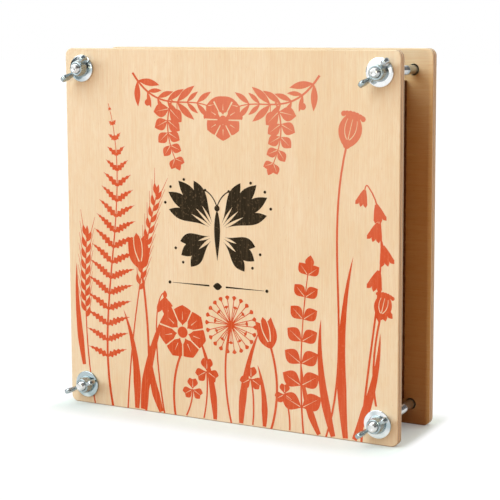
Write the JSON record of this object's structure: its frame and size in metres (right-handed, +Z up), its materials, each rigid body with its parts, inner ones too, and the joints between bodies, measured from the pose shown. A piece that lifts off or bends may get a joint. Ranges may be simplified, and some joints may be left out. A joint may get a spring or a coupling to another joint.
{
  "type": "flower press",
  "caption": "Square plywood flower press: wing nuts on bolts draw the front board towards the back one, over corrugated cards and blotting paper.",
  "frame": {"origin": "on the ground under the middle of the whole press, with heads and wing nuts", "axes": "+Z up, -Y to the front with the print and the wing nuts, +Y to the back with the bolt heads, +X to the right seen from the front"},
  "size_m": [0.2, 0.0621, 0.2],
  "materials": {
    "board": "birch plywood, sanded and clear lacquered, satin; the front one is printed",
    "bolt": "bright zinc plated steel",
    "washer": "bright zinc plated steel, tumbled",
    "wing_nut": "bright zinc plated, cast grain on the wings",
    "card": "brown corrugated cardboard, matt",
    "blotter": "off-white blotting paper, matt"
  },
  "bodies": {
    "back_board": {"back_board": "board", "bolt_top_left": "bolt", "bolt_top_right": "bolt", "bolt_bottom_left": "bolt", "bolt_bottom_right": "bolt"},
    "front_board": {"front_board": "board", "washer_top_left": "washer", "washer_top_right": "washer", "washer_bottom_left": "washer", "washer_bottom_right": "washer"},
    "wing_nut_top_left": {"wing_nut_top_left": "wing_nut"},
    "wing_nut_top_right": {"wing_nut_top_right": "wing_nut"},
    "wing_nut_bottom_left": {"wing_nut_bottom_left": "wing_nut"},
    "wing_nut_bottom_right": {"wing_nut_bottom_right": "wing_nut"},
    "card_1": {"card_1": "card"},
    "blotter_1": {"blotter_1": "blotter"},
    "blotter_2": {"blotter_2": "blotter"},
    "card_2": {"card_2": "card"},
    "blotter_3": {"blotter_3": "blotter"},
    "blotter_4": {"blotter_4": "blotter"},
    "card_3": {"card_3": "card"},
    "blotter_5": {"blotter_5": "blotter"},
    "blotter_6": {"blotter_6": "blotter"},
    "card_4": {"card_4": "card"},
    "blotter_7": {"blotter_7": "blotter"},
    "blotter_8": {"blotter_8": "blotter"},
    "card_5": {"card_5": "card"},
    "blotter_9": {"blotter_9": "blotter"},
    "blotter_10": {"blotter_10": "blotter"},
    "card_6": {"card_6": "card"}
  },
  "joints": [
    {"name": "front_board_slide", "type": "slide", "parent": "back_board", "child": "front_board", "axis": [0, 1, 0], "range_m": [0, 0.0048]},
    {"name": "wing_nut_top_left_turn", "type": "hinge", "parent": "front_board", "child": "wing_nut_top_left", "pos_m": [-0.089, -0.02195, 0.189], "axis": [0, 1, 0], "range_deg": [0, 2160]},
    {"name": "wing_nut_top_right_turn", "type": "hinge", "parent": "front_board", "child": "wing_nut_top_right", "pos_m": [0.089, -0.02195, 0.189], "axis": [0, 1, 0], "range_deg": [0, 2160]},
    {"name": "wing_nut_bottom_left_turn", "type": "hinge", "parent": "front_board", "child": "wing_nut_bottom_left", "pos_m": [-0.089, -0.02195, 0.011], "axis": [0, 1, 0], "range_deg": [0, 2160]},
    {"name": "wing_nut_bottom_right_turn", "type": "hinge", "parent": "front_board", "child": "wing_nut_bottom_right", "pos_m": [0.089, -0.02195, 0.011], "axis": [0, 1, 0], "range_deg": [0, 2160]},
    {"name": "card_1_slide", "type": "slide", "parent": "back_board", "child": "card_1", "axis": [0, 1, 0], "range_m": [0, 0.00452]},
    {"name": "blotter_1_slide", "type": "slide", "parent": "back_board", "child": "blotter_1", "axis": [0, 1, 0], "range_m": [0, 0.00424]},
    {"name": "blotter_2_slide", "type": "slide", "parent": "back_board", "child": "blotter_2", "axis": [0, 1, 0], "range_m": [0, 0.00395]},
    {"name": "card_2_slide", "type": "slide", "parent": "back_board", "child": "card_2", "axis": [0, 1, 0], "range_m": [0, 0.00367]},
    {"name": "blotter_3_slide", "type": "slide", "parent": "back_board", "child": "blotter_3", "axis": [0, 1, 0], "range_m": [0, 0.00339]},
    {"name": "blotter_4_slide", "type": "slide", "parent": "back_board", "child": "blotter_4", "axis": [0, 1, 0], "range_m": [0, 0.00311]},
    {"name": "card_3_slide", "type": "slide", "parent": "back_board", "child": "card_3", "axis": [0, 1, 0], "range_m": [0, 0.00282]},
    {"name": "blotter_5_slide", "type": "slide", "parent": "back_board", "child": "blotter_5", "axis": [0, 1, 0], "range_m": [0, 0.00254]},
    {"name": "blotter_6_slide", "type": "slide", "parent": "back_board", "child": "blotter_6", "axis": [0, 1, 0], "range_m": [0, 0.00226]},
    {"name": "card_4_slide", "type": "slide", "parent": "back_board", "child": "card_4", "axis": [0, 1, 0], "range_m": [0, 0.00198]},
    {"name": "blotter_7_slide", "type": "slide", "parent": "back_board", "child": "blotter_7", "axis": [0, 1, 0], "range_m": [0, 0.00169]},
    {"name": "blotter_8_slide", "type": "slide", "parent": "back_board", "child": "blotter_8", "axis": [0, 1, 0], "range_m": [0, 0.00141]},
    {"name": "card_5_slide", "type": "slide", "parent": "back_board", "child": "card_5", "axis": [0, 1, 0], "range_m": [0, 0.00113]},
    {"name": "blotter_9_slide", "type": "slide", "parent": "back_board", "child": "blotter_9", "axis": [0, 1, 0], "range_m": [0, 0.0008471]},
    {"name": "blotter_10_slide", "type": "slide", "parent": "back_board", "child": "blotter_10", "axis": [0, 1, 0], "range_m": [0, 0.0005648]},
    {"name": "card_6_slide", "type": "slide", "parent": "back_board", "child": "card_6", "axis": [0, 1, 0], "range_m": [0, 0.0002824]}
  ],
  "couplings": [
    {"joint": "wing_nut_top_left_turn", "follows": "front_board_slide", "rad_per_m": 7854},
    {"joint": "wing_nut_top_right_turn", "follows": "front_board_slide", "rad_per_m": 7854},
    {"joint": "wing_nut_bottom_left_turn", "follows": "front_board_slide", "rad_per_m": 7854},
    {"joint": "wing_nut_bottom_right_turn", "follows": "front_board_slide", "rad_per_m": 7854},
    {"joint": "card_1_slide", "follows": "front_board_slide", "ratio": 0.94118},
    {"joint": "blotter_1_slide", "follows": "front_board_slide", "ratio": 0.88235},
    {"joint": "blotter_2_slide", "follows": "front_board_slide", "ratio": 0.82353},
    {"joint": "card_2_slide", "follows": "front_board_slide", "ratio": 0.7647},
    {"joint": "blotter_3_slide", "follows": "front_board_slide", "ratio": 0.70588},
    {"joint": "blotter_4_slide", "follows": "front_board_slide", "ratio": 0.64706},
    {"joint": "card_3_slide", "follows": "front_board_slide", "ratio": 0.58823},
    {"joint": "blotter_5_slide", "follows": "front_board_slide", "ratio": 0.52941},
    {"joint": "blotter_6_slide", "follows": "front_board_slide", "ratio": 0.47059},
    {"joint": "card_4_slide", "follows": "front_board_slide", "ratio": 0.41176},
    {"joint": "blotter_7_slide", "follows": "front_board_slide", "ratio": 0.35294},
    {"joint": "blotter_8_slide", "follows": "front_board_slide", "ratio": 0.29412},
    {"joint": "card_5_slide", "follows": "front_board_slide", "ratio": 0.23529},
    {"joint": "blotter_9_slide", "follows": "front_board_slide", "ratio": 0.17647},
    {"joint": "blotter_10_slide", "follows": "front_board_slide", "ratio": 0.11765},
    {"joint": "card_6_slide", "follows": "front_board_slide", "ratio": 0.058823}
  ]
}
